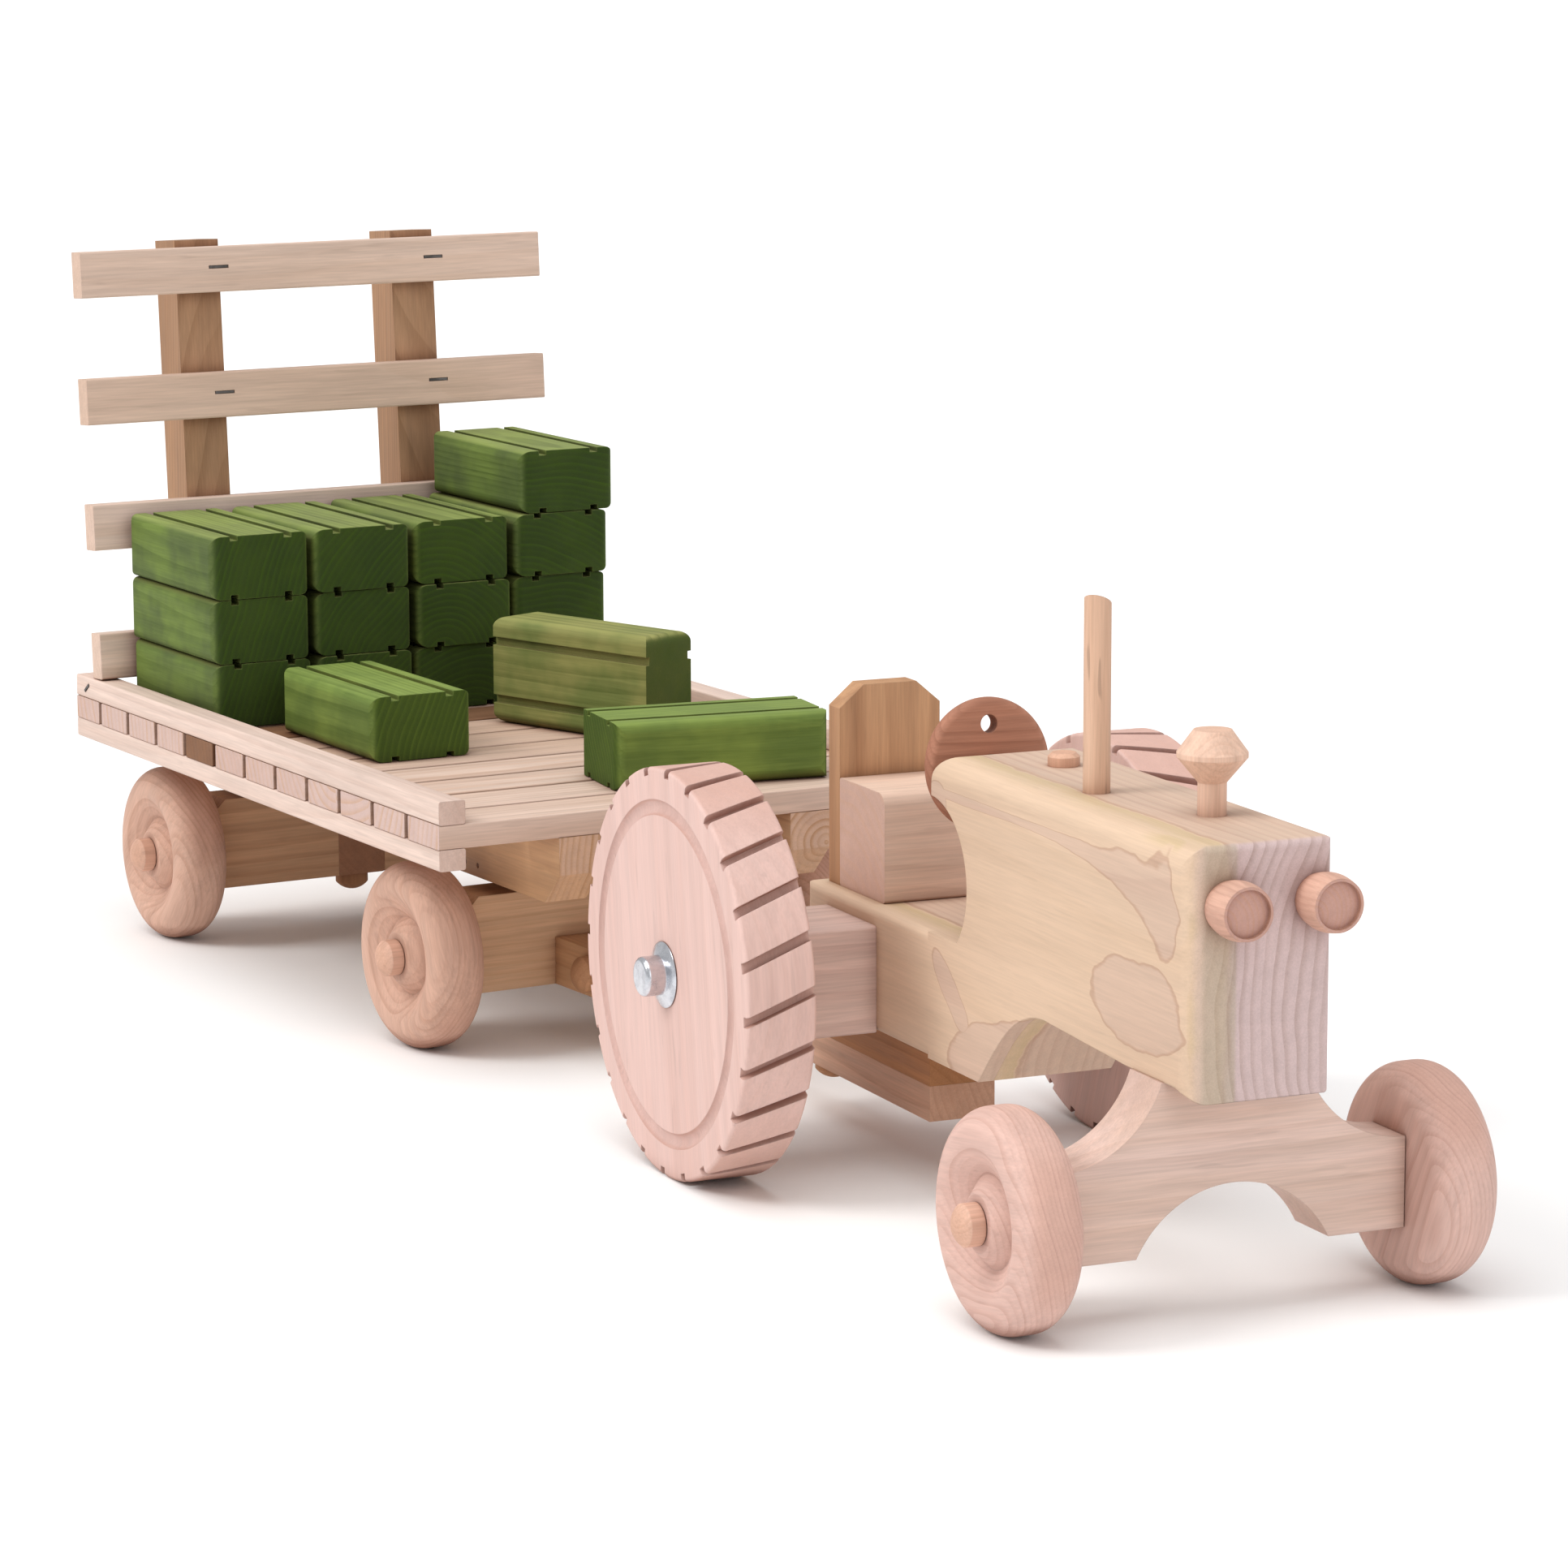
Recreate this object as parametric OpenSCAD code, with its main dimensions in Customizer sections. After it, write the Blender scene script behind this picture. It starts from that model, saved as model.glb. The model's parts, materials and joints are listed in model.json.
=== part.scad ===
// Wooden toy farm tractor with a hitched hay wagon and a load of hay bales.
// Millimetres, +Z up, +X towards the front of the tractor, ground at z = 0.
// The tractor is drawn about its rear axle, the wagon about its kingpin, and the
// place modules at the end of the Hidden section put both into the shared frame.
// Heights are drawn from a level line that runs `sole` below the wheels.

/* [Tractor body] */
// Width of the sawn body block
body_w = 44.4; // [42:0.2:47]
// Rear axle to the face of the hood
hood_front = 222.4; // [215:0.2:228]
// Height of the hood above the ground
hood_top = 138.6; // [134:0.2:144]
// Height of the flat deck that carries the seat
deck_top = 84; // [82:0.5:86]
// Height of the underside between the axles
belly_z = 44.7; // [43:0.1:46]
// Radius of the hood's long edges on the right, the softened side
hood_round = 7; // [4:0.5:9]

/* [Tractor running gear] */
// Radius of the rear wheels
rear_r = 64; // [63:0.1:65]
// Width of the rear wheels
rear_w = 22.8; // [18:0.2:23]
// Outer face of a rear wheel, from the centre line
rear_face_y = 85.2; // [84.8:0.1:90]
// Number of slots sawn across each rear tread
tread_slots = 24; // [12:1:30]
// Slant of the tread slots in degrees
slot_slant = 20; // [0:1:25]
// Rear axle to front axle
wheelbase = 199.2; // [198:0.1:202]
// Centre plane of a front wheel, from the centre line
front_track_y = 65.3; // [65.3:0.1:68]

/* [Small wheels] */
// Radius of the six small wheels
small_r = 32.1; // [31.5:0.1:32.5]
// Width of the six small wheels
small_w = 20; // [19:0.2:20]
// Radius of the axle peg shanks
peg_r = 4.35; // [3.9:0.05:4.4]
// Radius of the domed peg heads
peg_head_r = 6.15; // [5.6:0.05:6.6]

/* [Hitch] */
// Hitch pin, measured from the rear axle
hitch_x = -62; // [-66:0.5:-60]
// Hitch pin to the kingpin of the wagon
tongue_reach = 149.4; // [145:0.2:160]
// Rest heading of the tongue in degrees
tongue_yaw = 7.26; // [0:0.01:10]
// Rest heading of the wagon bed in degrees
bed_yaw = 5.71; // [0:0.01:10]
// Height of the joint between tongue and wagon axle
tongue_pivot_z = 27.6; // [27.2:0.1:28]

/* [Wagon] */
// Length of the slatted bed
bed_len = 310.3; // [305:0.1:316]
// Width of the slatted bed
bed_w = 191.8; // [188:0.2:198]
// Height of the slats' top face
bed_top = 89.8; // [89:0.1:91]
// Front edge of the bed, ahead of the kingpin
bed_front = 64.1; // [60:0.1:66]
// Number of slats
slat_count = 12; // [12:1:12]
// Wagon front axle to wagon rear axle
wagon_base = 211.1; // [205:0.1:215]
// Centre plane of a wagon wheel, from the wagon's centre line
wagon_track_y = 73; // [72.8:0.1:75]
// Backward lean of the hay rack in degrees
rack_lean = 4; // [2:0.5:5]

/* [Hay bales] */
// Length of a bale
bale_l = 77; // [70:0.5:77]
// Width of a bale
bale_w = 38.6; // [36:0.2:39]
// Height of a bale
bale_h = 23.1; // [20:0.1:23.1]

/* [Hidden] */
$fn = 96;
inch = 25.4;
glued = 0.03;        // radial room of a glued dowel
running = 0.08;      // radial room of a turning fit
gap = 0.3;           // room between parts that move apart

// Tractor body
body_half = body_w / 2;
hood_rear = 58;
hood_under = 70;
tail_x = -36;
notch_c = [57.5, 101];     // centre of the round cut behind the hood
notch_r = 25;
brow_r = 9.5;              // rounding over the steering wheel
sole = 1.2;
rear_axle_z = sole + rear_r;
small_axle_z = sole + small_r;
crisp = 1.8;               // radius of the body's other edges
rod_r = 3 / 16 * inch;
block_half_l = 18.9;
block_top = 78.5;
cap_flange_r = 10.3;
cap_hat_r = 6.2;
cap_length = 8;

// Things standing on the tractor
seat_rear = -19.1;
seat_front = 14.2;
seat_half_w = 17.3;
seat_z = 118.5;
back_t = 8.2;
back_top = 147.4;
pipe_r = 5 / 32 * inch;
pipe_pos = [135.8, -6.5];
pipe_top = 194.2;
cleaner_pos = [181.1, 6.7];
cap_pos = [92.3, 4.9];
light_y = [-10.3, 17.9];   // the lamps sit a little to the left of centre
light_z = 121.3;
light_len = 12;
tenon_r = 3.1;
post_r = 3.2;
wheel_c = [50.5, 132.5];   // steering wheel centre, x and z
wheel_rim_r = 20.6;
wheel_t = 5;
wheel_tip = 5;             // the rim leans back towards the seat

// Front axle of the tractor
beam_t = 19.2;
beam_half = 55;
beam_bottom = 20.4;
beam_end_top = 47;

// Small wheels
small_bore = peg_r + running;
shoulder_r = 8;
hub_r = 8.3;
dish_r = 13.4;
dish_slope = 31;
hub_drop = 0.5;
head_side = 4.3;           // straight part of a peg head
head_dome = 3;
head_len = head_side + head_dome;
peg_depth = 19;            // how far an axle peg goes into its beam

// Hitch
bar_w = 22.2;
bar_top = 29.9;
bar_t = 11.2;
bar_front = 34;
spacer_rear = -43;
pin_r = pipe_r;
pin_top = 48.5;
tongue_w = 3 / 4 * inch;
tongue_t = 11;
pivot_ahead = 35.6;        // tongue joint, ahead of the kingpin
tongue_span = tongue_reach - pivot_ahead;
tongue_seat = bar_top + 1.3 + tongue_t / 2;
tongue_pitch = atan2(tongue_seat - tongue_pivot_z, tongue_span);
cheek_t = 16.5;
cheek_in = tongue_w / 2 + gap;
cheek_out = cheek_in + cheek_t;
cheek_z = [19.3, 35.8];
cheek_front = pivot_ahead + 11;

// Wagon
kingpin_xy = [hitch_x - tongue_reach * cos(tongue_yaw), -tongue_reach * sin(tongue_yaw)];
wbeam_t = 19;
wbeam_half = wagon_track_y - small_w / 2 - 0.9;
wbeam_z = [19.3, 53];
sill_y = [36.4, 51.8];
sill_bottom = 58;
slat_t = 8.2;
rail_w = 9.65;
rail_t = 8;
lower_rail_t = 7.2;
slat_bottom = bed_top - slat_t;
sill_chamfer = 10.8;
slat_pitch = (bed_len - 20.9) / (slat_count - 1);
slat_w = slat_pitch - 2.7;
heartwood_index = 7;
bed_rear = bed_front - bed_len;

// Hay rack, measured where the boards meet the rails
rack_x = -223.9;
board_half = 94.8;
board_t = 8.4;
board_h = 17.1;
board_rise = [0, 48.1, 94.7, 141.6];
stake_w = 17.6;
stake_t = 18.5;
stake_y = 44.5;
rack_foot = bed_top + rail_t + board_t * sin(rack_lean) + 0.05;

// Bales
bale_round = 3.8;
string_w = 3;
string_d = 1.7;
string_y = 10.6;
row_pitch = bale_h + gap;
column_pitch = 40.5;
stack_x = rack_x + gap + 0.3 + bale_l / 2;

// Outer limits of the whole toy, about the tractor's rear axle, used to set the origin
function bed_point(x, y) =
  [kingpin_xy[0] + x * cos(bed_yaw) - y * sin(bed_yaw),
   kingpin_xy[1] + x * sin(bed_yaw) + y * cos(bed_yaw)];
stake_up = board_rise[3] + board_h + 2.6;
stake_back = rack_x - (board_t + stake_t) * cos(rack_lean) - stake_up * sin(rack_lean);
low_x = bed_point(stake_back, stake_y + stake_w / 2)[0];
high_x = hood_front + light_len;
low_y = bed_point(bed_rear, -bed_w / 2)[1];
high_y = rear_face_y + gap + cap_length;
origin_shift = [-(low_x + high_x) / 2, -(low_y + high_y) / 2, -sole];

// Frames of the moving groups
module tractor_place() { translate(origin_shift) children(); }
module tongue_place() {
  tractor_place() translate([hitch_x, 0, 0]) rotate([0, 0, tongue_yaw]) children();
}
module axle_place() { tongue_place() translate([-tongue_reach, 0, 0]) children(); }
module bed_place() {
  tractor_place() translate([kingpin_xy[0], kingpin_xy[1], 0]) rotate([0, 0, bed_yaw]) children();
}

// ---------------------------------------------------------------- shared shapes

// Turns local +Z to point outwards on one side: 1 is left (+Y), -1 is right (-Y)
module outward(side) { rotate([-90 * side, 0, 0]) children(); }

// Draws a side view (x along, y up) as a plate of the given thickness across Y
module across(width) { translate([0, width / 2, 0]) rotate([90, 0, 0]) linear_extrude(width) children(); }

// Draws an end view (x across, y up) as a bar from x0 to x1
module along(x0, x1) {
  translate([x0, 0, 0]) rotate([90, 0, 90]) linear_extrude(x1 - x0) children();
}

// Rectangle between two corners with true round corners
module round_rect(low, high, r) {
  translate([low[0] + r, low[1]]) square([high[0] - low[0] - 2 * r, high[1] - low[1]]);
  translate([low[0], low[1] + r]) square([high[0] - low[0], high[1] - low[1] - 2 * r]);
  for (x = [low[0] + r, high[0] - r], y = [low[1] + r, high[1] - r]) translate([x, y]) circle(r);
}

// Rectangular bar between two corners, with its long X edges eased
module eased_bar_x(low, high, r) {
  along(low[0], high[0]) round_rect([low[1], low[2]], [high[1], high[2]], r);
}

// The same with its long Y edges eased
module eased_bar_y(low, high, r) {
  translate([0, high[1], 0]) rotate([90, 0, 0]) linear_extrude(high[1] - low[1])
    round_rect([low[0], low[2]], [high[0], high[2]], r);
}

// Cubic curve through its two ends, shaped by two handles
function bezier(a, b, c, d, steps) = [
  for (i = [0 : steps]) let (t = i / steps, s = 1 - t)
    s * s * s * a + 3 * s * s * t * b + 3 * s * t * t * c + t * t * t * d
];

// Turned wooden peg: head from z = 0 upwards, shank below
module peg(shank, r = peg_r) {
  dome_r = (peg_head_r * peg_head_r + head_dome * head_dome) / (2 * head_dome);
  rotate_extrude() {
    translate([0, -shank]) square([r, shank + 0.5]);
    square([peg_head_r, head_side]);
    intersection() {
      translate([0, head_len - dome_r]) circle(dome_r);
      translate([0, head_side]) square([peg_head_r, head_dome]);
    }
  }
}

// Small wheel about its own axis, hub side up: a full round tyre whose outer face slopes
// down into a valley, with a cone-shaped hub standing in the middle
module small_wheel() {
  tread = small_w / 2;
  centre = [small_r - shoulder_r, tread - shoulder_r];
  leave = centre + shoulder_r * [-sin(dish_slope), cos(dish_slope)];
  valley = leave[1] - (leave[0] - dish_r) * tan(dish_slope);
  face = tread - hub_drop;
  rotate_extrude() union() {
    for (side = [-1, 1]) translate([centre[0], side * centre[1]]) circle(shoulder_r);
    translate([centre[0], -centre[1]]) square([shoulder_r, 2 * centre[1]]);
    polygon([
      [small_bore, -tread], [centre[0], -tread], centre, leave, [dish_r, valley],
      [hub_r + 0.8, face - 0.6], [hub_r, face], [small_bore, face]
    ]);
  }
}

// ---------------------------------------------------------------- tractor body

module body_side() {
  difference() {
    union() {
      round_rect([hood_rear, belly_z + 8], [hood_front, hood_top], 2.2);
      translate([hood_rear + 18, belly_z]) square([hood_front - hood_rear - 18, 40]);
      round_rect([tail_x, belly_z], [hood_rear + 30, deck_top], 6);
      translate([tail_x + 20, belly_z]) square([120, deck_top - belly_z]);
    }
    intersection() {
      translate(notch_c) circle(notch_r);
      translate([0, deck_top]) square([200, 60]);
    }
    difference() {
      translate([hood_rear - 1, hood_top - brow_r]) square([brow_r + 1, brow_r + 1]);
      translate([hood_rear + brow_r, hood_top - brow_r]) circle(brow_r);
    }
    translate([0, deck_top]) square([notch_c[0] + 0.5, notch_c[1] + notch_r - 1 - deck_top]);
    polygon(concat(
      bezier([90.8, belly_z], [103, 58], [114, 72], [134, 72.4], 14),
      [[186, hood_under], [213, hood_under]],
      bezier([213, hood_under], [217, hood_under], [220, hood_under - 1], [hood_front + 1, hood_under - 5], 6),
      [[hood_front + 20, 20], [90.8, 20]]
    ));
  }
}

module body_blank() {
  intersection() {
    across(body_w + 2) body_side();
    union() {
      along(hood_rear - 2, hood_front + 2) intersection() {
        round_rect([-body_half, 20], [body_half + 40, hood_top], hood_round);
        round_rect([-body_half - 40, 20], [body_half, hood_top], crisp);
      }
      along(tail_x - 2, 90) round_rect([-body_half, belly_z], [body_half, deck_top], 3);
    }
    linear_extrude(hood_top + 10) intersection() {
      round_rect([tail_x, -body_half], [hood_front, body_half + 40], 6);
      round_rect([tail_x, -body_half - 40], [hood_front, body_half], crisp);
    }
  }
}

module tractor_body() {
  color("navajowhite") tractor_place() difference() {
    body_blank();
    translate([0, 0, rear_axle_z]) rotate([90, 0, 0]) cylinder(h = 80, r = rod_r + glued, center = true);
    translate([pipe_pos[0], pipe_pos[1], hood_top - 16]) cylinder(h = 30, r = pipe_r + glued);
    translate([cleaner_pos[0], cleaner_pos[1], hood_top - 12]) cylinder(h = 30, r = 4.15 + glued);
    translate([cap_pos[0], cap_pos[1], hood_top - 9]) cylinder(h = 30, r = tenon_r + glued);
    for (y = light_y) translate([hood_front - 11, y, light_z])
      rotate([0, 90, 0]) cylinder(h = 30, r = tenon_r + glued);
    steering_axis() translate([0, 0, -20]) cylinder(h = 30, r = post_r + glued);
    for (y = [-12, 12]) translate([wheelbase, y, hood_under - 1]) cylinder(h = 20, r = 4 + glued);
    for (x = [-10, 5]) translate([x, 0, deck_top - 6]) cylinder(h = 30, r = 4 + glued);
    for (x = [-30, 22]) translate([x, 0, 20]) cylinder(h = 36, r = 4 + glued);
  }
}

module seat_block() {
  color("rosybrown") tractor_place() difference() {
    across(2 * seat_half_w) round_rect([seat_rear, deck_top], [seat_front, seat_z], 1);
    // the front top edge is rounded further
    translate([seat_front - 4.5, 0, seat_z - 4.5]) difference() {
      across(2 * seat_half_w + 2) square([6, 6]);
      rotate([90, 0, 0]) cylinder(h = 2 * seat_half_w + 4, r = 4.5, center = true);
    }
    for (x = [-10, 5]) translate([x, 0, deck_top - 1]) cylinder(h = 13, r = 4 + glued);
  }
}

module seat_back() {
  cut_y = 8.2;
  cut_z = 7;
  color("burlywood") tractor_place() along(seat_rear - back_t, seat_rear) polygon([
    [-seat_half_w, deck_top], [seat_half_w, deck_top],
    [seat_half_w, back_top - cut_z], [seat_half_w - cut_y, back_top],
    [-seat_half_w + cut_y, back_top], [-seat_half_w, back_top - cut_z]
  ]);
}

module seat_dowels() {
  color("wheat") tractor_place() for (x = [-10, 5]) translate([x, 0, deck_top - 5.5]) cylinder(h = 17, r = 4);
}

// Axis of the steering post, +Z towards the driver, origin at the rim's centre
module steering_axis() {
  translate([wheel_c[0], 0, wheel_c[1]]) rotate([0, -90 - wheel_tip, 0]) children();
}

module steering_wheel() {
  color("sienna") tractor_place() steering_axis() difference() {
    rotate_extrude() {
      translate([wheel_rim_r - wheel_t / 2, 0]) circle(wheel_t / 2);
      translate([0, -wheel_t / 2]) square([wheel_rim_r - wheel_t / 2, wheel_t]);
    }
    cylinder(h = 20, r = post_r + running, center = true);
    for (a = [0 : 90 : 270]) rotate([0, 0, a]) translate([12.6, 0, 0]) cylinder(h = 20, r = 2.8, center = true);
  }
}

module steering_post() {
  color("burlywood") tractor_place() steering_axis() {
    translate([0, 0, -19.5]) cylinder(h = 19.5 + wheel_t / 2 + gap, r = post_r);
    translate([0, 0, wheel_t / 2 + gap]) rotate_extrude() intersection() {
      round_rect([-5, -2], [5, 3], 2);
      square([6, 4]);
    }
  }
}

module exhaust_pipe() {
  foot = hood_top - 15.5;
  color("burlywood") tractor_place() translate([pipe_pos[0], pipe_pos[1], 0]) difference() {
    translate([0, 0, foot]) cylinder(h = pipe_top + 5 - foot, r = pipe_r);
    translate([0, 0, pipe_top]) rotate([0, 0, 135]) rotate([0, 30, 0]) translate([-20, -20, 0]) cube([40, 40, 20]);
  }
}

module air_cleaner() {
  color("wheat") tractor_place() translate([cleaner_pos[0], cleaner_pos[1], hood_top]) rotate_extrude()
    polygon([[0, -11.5], [4.15, -11.5], [4.15, 9.4], [10.15, 16.6], [10.15, 18], [5.5, 24.4], [0, 24.4]]);
}

module fuel_cap() {
  color("burlywood") tractor_place() translate([cap_pos[0], cap_pos[1], hood_top]) rotate_extrude()
    polygon([[0, -8.5], [tenon_r, -8.5], [tenon_r, 0], [4.8, 0], [4.8, 2.8], [3.6, 4], [0, 4]]);
}

// Turned lamp: a slightly barrelled body with a shallow lens recess and a glued tenon
module headlight(side) {
  bulge = [for (i = [0 : 16]) [7.3 + 0.3 * i / 16 + 0.9 * sin(180 * i / 16), light_len * i / 16]];
  translate([hood_front, light_y[side], light_z]) rotate([0, 90, 0]) rotate_extrude() difference() {
    polygon(concat([[0, -10.5], [tenon_r, -10.5], [tenon_r, 0]], bulge, [[0, light_len]]));
    translate([0, light_len - 1.5]) square([6.8, 2]);
  }
}

module headlight_left() { color("thistle") tractor_place() headlight(1); }
module headlight_right() { color("thistle") tractor_place() headlight(0); }

// ---------------------------------------------------------------- tractor running gear

module front_axle_beam() {
  arch_half = 30.5;
  arch_rise = 19;
  arch_r = (arch_half * arch_half + arch_rise * arch_rise) / (2 * arch_rise);
  scoop_r = 33.8;
  color("burlywood") tractor_place() difference() {
    along(wheelbase - beam_t / 2, wheelbase + beam_t / 2) difference() {
      translate([-beam_half, beam_bottom]) square([2 * beam_half, hood_under - beam_bottom]);
      translate([0, beam_bottom + arch_rise - arch_r]) circle(arch_r);
      for (y = [-beam_half, beam_half]) translate([y, beam_end_top + scoop_r]) circle(scoop_r);
    }
    for (y = [-12, 12]) translate([wheelbase, y, hood_under - 18]) cylinder(h = 30, r = 4 + glued);
    for (side = [-1, 1]) translate([wheelbase, side * beam_half, small_axle_z]) outward(side)
      translate([0, 0, -peg_depth - 1]) cylinder(h = peg_depth + 3, r = peg_r + glued);
  }
}

module beam_dowels() {
  color("wheat") tractor_place() for (y = [-12, 12])
    translate([wheelbase, y, hood_under - 17.5]) cylinder(h = 35, r = 4);
}

module front_wheel(side) {
  translate([wheelbase, side * front_track_y, small_axle_z]) outward(side) small_wheel();
}

module front_wheel_left() { color("mistyrose") tractor_place() front_wheel(1); }
module front_wheel_right() { color("mistyrose") tractor_place() front_wheel(-1); }

// Axle peg through a small wheel on the given centre plane, reaching into a beam's end
module wheel_peg(side, track_y, beam_end) {
  seat = track_y + small_w / 2 - hub_drop + gap;
  translate([0, side * seat, small_axle_z]) outward(side) peg(seat - beam_end + peg_depth);
}

module front_wheel_pegs() {
  color("burlywood") tractor_place() for (side = [-1, 1])
    translate([wheelbase, 0, 0]) wheel_peg(side, front_track_y, beam_half);
}

module axle_block(side) {
  inner = body_half;
  outer = rear_face_y - rear_w - 0.9;
  difference() {
    translate([0, side * (inner + outer) / 2, 0]) across(outer - inner)
      round_rect([-block_half_l, belly_z], [block_half_l, block_top], 1);
    translate([0, 0, rear_axle_z]) rotate([90, 0, 0]) cylinder(h = 200, r = rod_r + glued, center = true);
  }
}

module axle_block_left() { color("tan") tractor_place() axle_block(1); }
module axle_block_right() { color("tan") tractor_place() axle_block(-1); }

module rear_axle_rod() {
  half = rear_face_y + gap + 5.5;
  color("silver") tractor_place() translate([0, 0, rear_axle_z])
    rotate([90, 0, 0]) cylinder(h = 2 * half, r = rod_r, center = true);
}

// Rear wheel about its own axis, outer face up
module rear_wheel_solid(slant) {
  difference() {
    rotate_extrude() difference() {
      union() {
        intersection() {
          round_rect([0, -rear_w / 2], [rear_r, rear_w / 2], 1.3);
          translate([rod_r + running, -rear_w]) square([rear_r, 2 * rear_w]);
        }
        translate([rod_r + running, -rear_w / 2]) square([20, rear_w]);
      }
      translate([51.6, rear_w / 2 + 0.9]) circle(2.6);
    }
    for (i = [0 : tread_slots - 1]) rotate([0, 0, 360 * (i + 0.1) / tread_slots])
      translate([rear_r, 0, 0]) rotate([slant, 0, 0]) cube([5.6, 3, 2 * rear_w], center = true);
  }
}

module rear_wheel(side) {
  translate([0, side * (rear_face_y - rear_w / 2), rear_axle_z]) outward(side)
    rear_wheel_solid(-side * slot_slant);
}

module rear_wheel_left() { color("mistyrose") tractor_place() rear_wheel(1); }
module rear_wheel_right() { color("mistyrose") tractor_place() rear_wheel(-1); }

// Pressed steel hats on the ends of the rear axle rod
module axle_caps() {
  color("gainsboro") tractor_place() for (side = [-1, 1])
    translate([0, side * (rear_face_y + gap), rear_axle_z]) outward(side) rotate_extrude() difference() {
      union() {
        intersection() {
          translate([0, 2.4 - 24]) circle(24);
          square([cap_flange_r, 3]);
        }
        intersection() {
          round_rect([-cap_hat_r, -4], [cap_hat_r, cap_length], 1.6);
          square([cap_hat_r, cap_length]);
        }
      }
      translate([-1, -1]) square([rod_r + glued + 1, 6.7]);
    }
}

// ---------------------------------------------------------------- hitch

module hitch_spacer() {
  color("sienna") tractor_place() difference() {
    translate([spacer_rear, -bar_w / 2, bar_top]) cube([bar_front - spacer_rear, bar_w, belly_z - bar_top]);
    for (x = [-30, 22]) translate([x, 0, 20]) cylinder(h = 36, r = 4 + glued);
  }
}

module drawbar() {
  color("rosybrown") tractor_place() difference() {
    translate([0, 0, bar_top - bar_t]) linear_extrude(bar_t) {
      translate([hitch_x, -bar_w / 2]) square([bar_front - hitch_x, bar_w]);
      translate([hitch_x, 0]) circle(bar_w / 2);
    }
    translate([hitch_x, 0, 0]) cylinder(h = 50, r = pin_r + glued);
    for (x = [-30, 22]) translate([x, 0, 10]) cylinder(h = 36, r = 4 + glued);
  }
}

module drawbar_dowels() {
  color("wheat") tractor_place() for (x = [-30, 22])
    translate([x, 0, bar_top - bar_t]) cylinder(h = 36, r = 4);
}

module hitch_peg() {
  head_z = bar_top - bar_t;
  color("saddlebrown") tractor_place() translate([hitch_x, 0, head_z]) rotate([180, 0, 0]) {
    peg(2, pin_r);
    translate([0, 0, -(pin_top - head_z)]) cylinder(h = pin_top - head_z, r = pin_r);
  }
}

// ---------------------------------------------------------------- tongue and wagon front axle

// Frame of the tongue joint: origin on its axis, +X along the tongue, level
module pivot_place() {
  axle_place() translate([pivot_ahead, 0, tongue_pivot_z]) children();
}

module tongue() {
  stick = tongue_span / cos(tongue_pitch);
  nose = 10.5;
  color("tan") difference() {
    pivot_place() rotate([0, -tongue_pitch, 0]) difference() {
      translate([0, 0, -tongue_t / 2]) linear_extrude(tongue_t) {
        translate([-6, -tongue_w / 2]) square([stick + 6, tongue_w]);
        translate([stick, 0]) circle(nose);
      }
      rotate([90, 0, 0]) cylinder(h = 40, r = pin_r + running, center = true);
    }
    tongue_place() cylinder(h = 60, r = pin_r + running);
  }
}

module tongue_peg() {
  color("rosybrown") pivot_place() translate([0, -cheek_out - 0.2, 0]) outward(-1) peg(2 * cheek_out, pin_r);
}

module clevis_cheek(side) {
  mid = side * (cheek_in + cheek_out) / 2;
  difference() {
    translate([0, mid, 0]) across(cheek_t) {
      translate([-wbeam_t / 2, cheek_z[0]]) square([cheek_front - 5 + wbeam_t / 2, cheek_z[1] - cheek_z[0]]);
      round_rect([0, cheek_z[0]], [cheek_front, cheek_z[1]], 5);
    }
    translate([pivot_ahead, 0, tongue_pivot_z]) rotate([90, 0, 0]) cylinder(h = 100, r = pin_r + glued, center = true);
  }
}

module clevis_cheek_left() { color("peru") axle_place() clevis_cheek(1); }
module clevis_cheek_right() { color("peru") axle_place() clevis_cheek(-1); }

// End view of a wagon axle beam: chamfered top corners, notch in the underside
module wagon_beam_view(notch_half) {
  cut = 6.3;
  difference() {
    polygon([
      [-wbeam_half, wbeam_z[0]], [wbeam_half, wbeam_z[0]],
      [wbeam_half, wbeam_z[1] - cut], [wbeam_half - cut, wbeam_z[1]],
      [-wbeam_half + cut, wbeam_z[1]], [-wbeam_half, wbeam_z[1] - cut]
    ]);
    translate([-notch_half, wbeam_z[0] - 1]) square([2 * notch_half, cheek_z[1] + glued + 1 - wbeam_z[0]]);
  }
}

module wagon_beam(notch_half, pin_room) {
  difference() {
    along(-wbeam_t / 2, wbeam_t / 2) wagon_beam_view(notch_half);
    cylinder(h = 100, r = pin_r + pin_room);
    for (side = [-1, 1]) translate([0, side * wbeam_half, small_axle_z]) outward(side)
      translate([0, 0, -peg_depth - 1]) cylinder(h = peg_depth + 3, r = peg_r + glued);
  }
}

module wagon_front_beam() { color("tan") axle_place() wagon_beam(cheek_out + glued, running); }

module wagon_wheel(side) {
  translate([0, side * wagon_track_y, small_axle_z]) outward(side) small_wheel();
}

module wagon_front_left_wheel() { color("mistyrose") axle_place() wagon_wheel(1); }
module wagon_front_right_wheel() { color("mistyrose") axle_place() wagon_wheel(-1); }
module wagon_front_pegs() {
  color("burlywood") axle_place() for (side = [-1, 1]) wheel_peg(side, wagon_track_y, wbeam_half);
}

// ---------------------------------------------------------------- wagon bed

module kingpin() {
  head_z = cheek_z[1] - gap;
  color("saddlebrown") bed_place() translate([0, 0, head_z]) rotate([180, 0, 0]) peg(33, pin_r);
}

module bolster(x) {
  difference() {
    translate([x - wbeam_t / 2, -sill_y[0] + glued, wbeam_z[1] + gap])
      cube([wbeam_t, 2 * (sill_y[0] - glued), slat_bottom - wbeam_z[1] - gap]);
    translate([x, 0, wbeam_z[1] - 2]) cylinder(h = 20, r = pin_r + glued);
  }
}

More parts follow.
